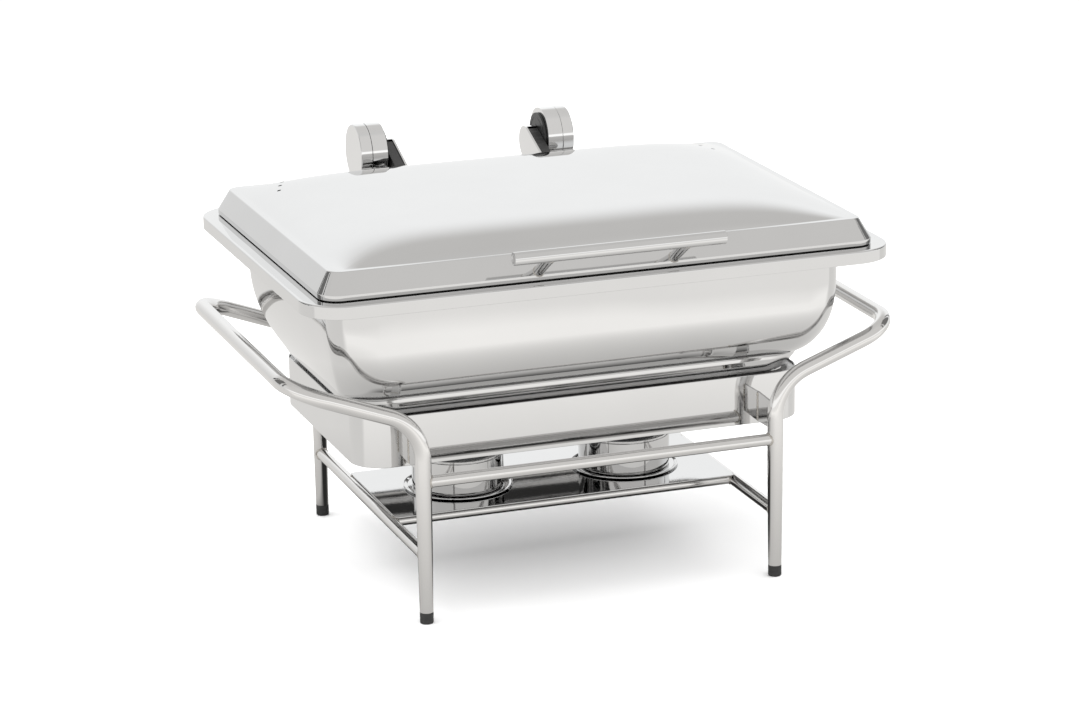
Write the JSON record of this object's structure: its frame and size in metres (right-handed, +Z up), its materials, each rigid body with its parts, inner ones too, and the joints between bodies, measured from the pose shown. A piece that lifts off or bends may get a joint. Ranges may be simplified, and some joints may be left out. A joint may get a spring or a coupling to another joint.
{
  "type": "chafing dish food warmer",
  "caption": "Rectangular stainless food warmer: hinged domed lid over a food pan and water bath, on a bent-tube stand with end handles and gel burners on a tray.",
  "frame": {"origin": "on the floor, in the middle of the overall width (X) and depth (Y)", "axes": "+X to the right across the long side, as seen from the front; +Y from the front to the hinges at the back; +Z up"},
  "size_m": [0.6398, 0.5106, 0.401],
  "materials": {
    "mirror_steel": "mirror-polished stainless sheet",
    "tube_steel": "polished stainless tube and bar, slightly softer than the sheet",
    "plain_steel": "plain satin stainless or tinplate",
    "hinge_chrome": "polished plated casting",
    "hinge_plastic": "black moulded plastic",
    "foot_rubber": "black rubber",
    "gasket_rubber": "black rubber seal",
    "fuel_gel": "translucent gel fuel, drawn as a solid"
  },
  "bodies": {
    "stand": {"end_frame_left": "tube_steel", "lower_side_rail_left": "tube_steel", "foot_cap_front_left": "foot_rubber", "ring_bracket_front_left": "mirror_steel", "foot_cap_back_left": "foot_rubber", "ring_bracket_back_left": "mirror_steel", "end_frame_right": "tube_steel", "lower_side_rail_right": "tube_steel", "foot_cap_front_right": "foot_rubber", "ring_bracket_front_right": "mirror_steel", "foot_cap_back_right": "foot_rubber", "ring_bracket_back_right": "mirror_steel", "upper_rail_front": "tube_steel", "shelf_rail_front": "tube_steel", "upper_rail_back": "tube_steel", "shelf_rail_back": "tube_steel", "support_ring": "mirror_steel", "ring_ledge": "plain_steel", "burner_tray": "mirror_steel"},
    "chafer": {"water_pan": "mirror_steel", "rim_frame": "mirror_steel", "food_pan": "plain_steel", "hinge_housing_left": "hinge_chrome", "hinge_cap_left": "hinge_chrome", "hinge_damper_left": "hinge_plastic", "hinge_screw_inner_left": "plain_steel", "hinge_screw_outer_left": "plain_steel", "hinge_housing_right": "hinge_chrome", "hinge_cap_right": "hinge_chrome", "hinge_damper_right": "hinge_plastic", "hinge_screw_inner_right": "plain_steel", "hinge_screw_outer_right": "plain_steel"},
    "lid": {"lid_shell": "mirror_steel", "lid_gasket": "gasket_rubber", "lid_handle_rod": "mirror_steel", "lid_handle_post_left": "mirror_steel", "hinge_shaft_left": "plain_steel", "hinge_washer_left": "hinge_plastic", "hinge_arm_left": "hinge_chrome", "hinge_arm_core_left": "hinge_plastic", "lid_handle_post_right": "mirror_steel", "hinge_shaft_right": "plain_steel", "hinge_washer_right": "hinge_plastic", "hinge_arm_right": "hinge_chrome", "hinge_arm_core_right": "hinge_plastic"},
    "burner_left": {"burner_saucer_left": "mirror_steel", "burner_cup_left": "mirror_steel", "fuel_tin_left": "plain_steel", "fuel_gel_left": "fuel_gel"},
    "burner_right": {"burner_saucer_right": "mirror_steel", "burner_cup_right": "mirror_steel", "fuel_tin_right": "plain_steel", "fuel_gel_right": "fuel_gel"}
  },
  "joints": [
    {"name": "chafer_lift", "type": "slide", "parent": "stand", "child": "chafer", "axis": [0, 0, 1], "range_m": [0, 0.12]},
    {"name": "lid_hinge", "type": "hinge", "parent": "chafer", "child": "lid", "pos_m": [0, 0.22525, 0.371], "axis": [-1, 0, 0], "range_deg": [0, 90]},
    {"name": "burner_left_slide", "type": "slide", "parent": "stand", "child": "burner_left", "axis": [0, -1, 0], "range_m": [0, 0.3]},
    {"name": "burner_right_slide", "type": "slide", "parent": "stand", "child": "burner_right", "axis": [0, -1, 0], "range_m": [0, 0.3]}
  ]
}
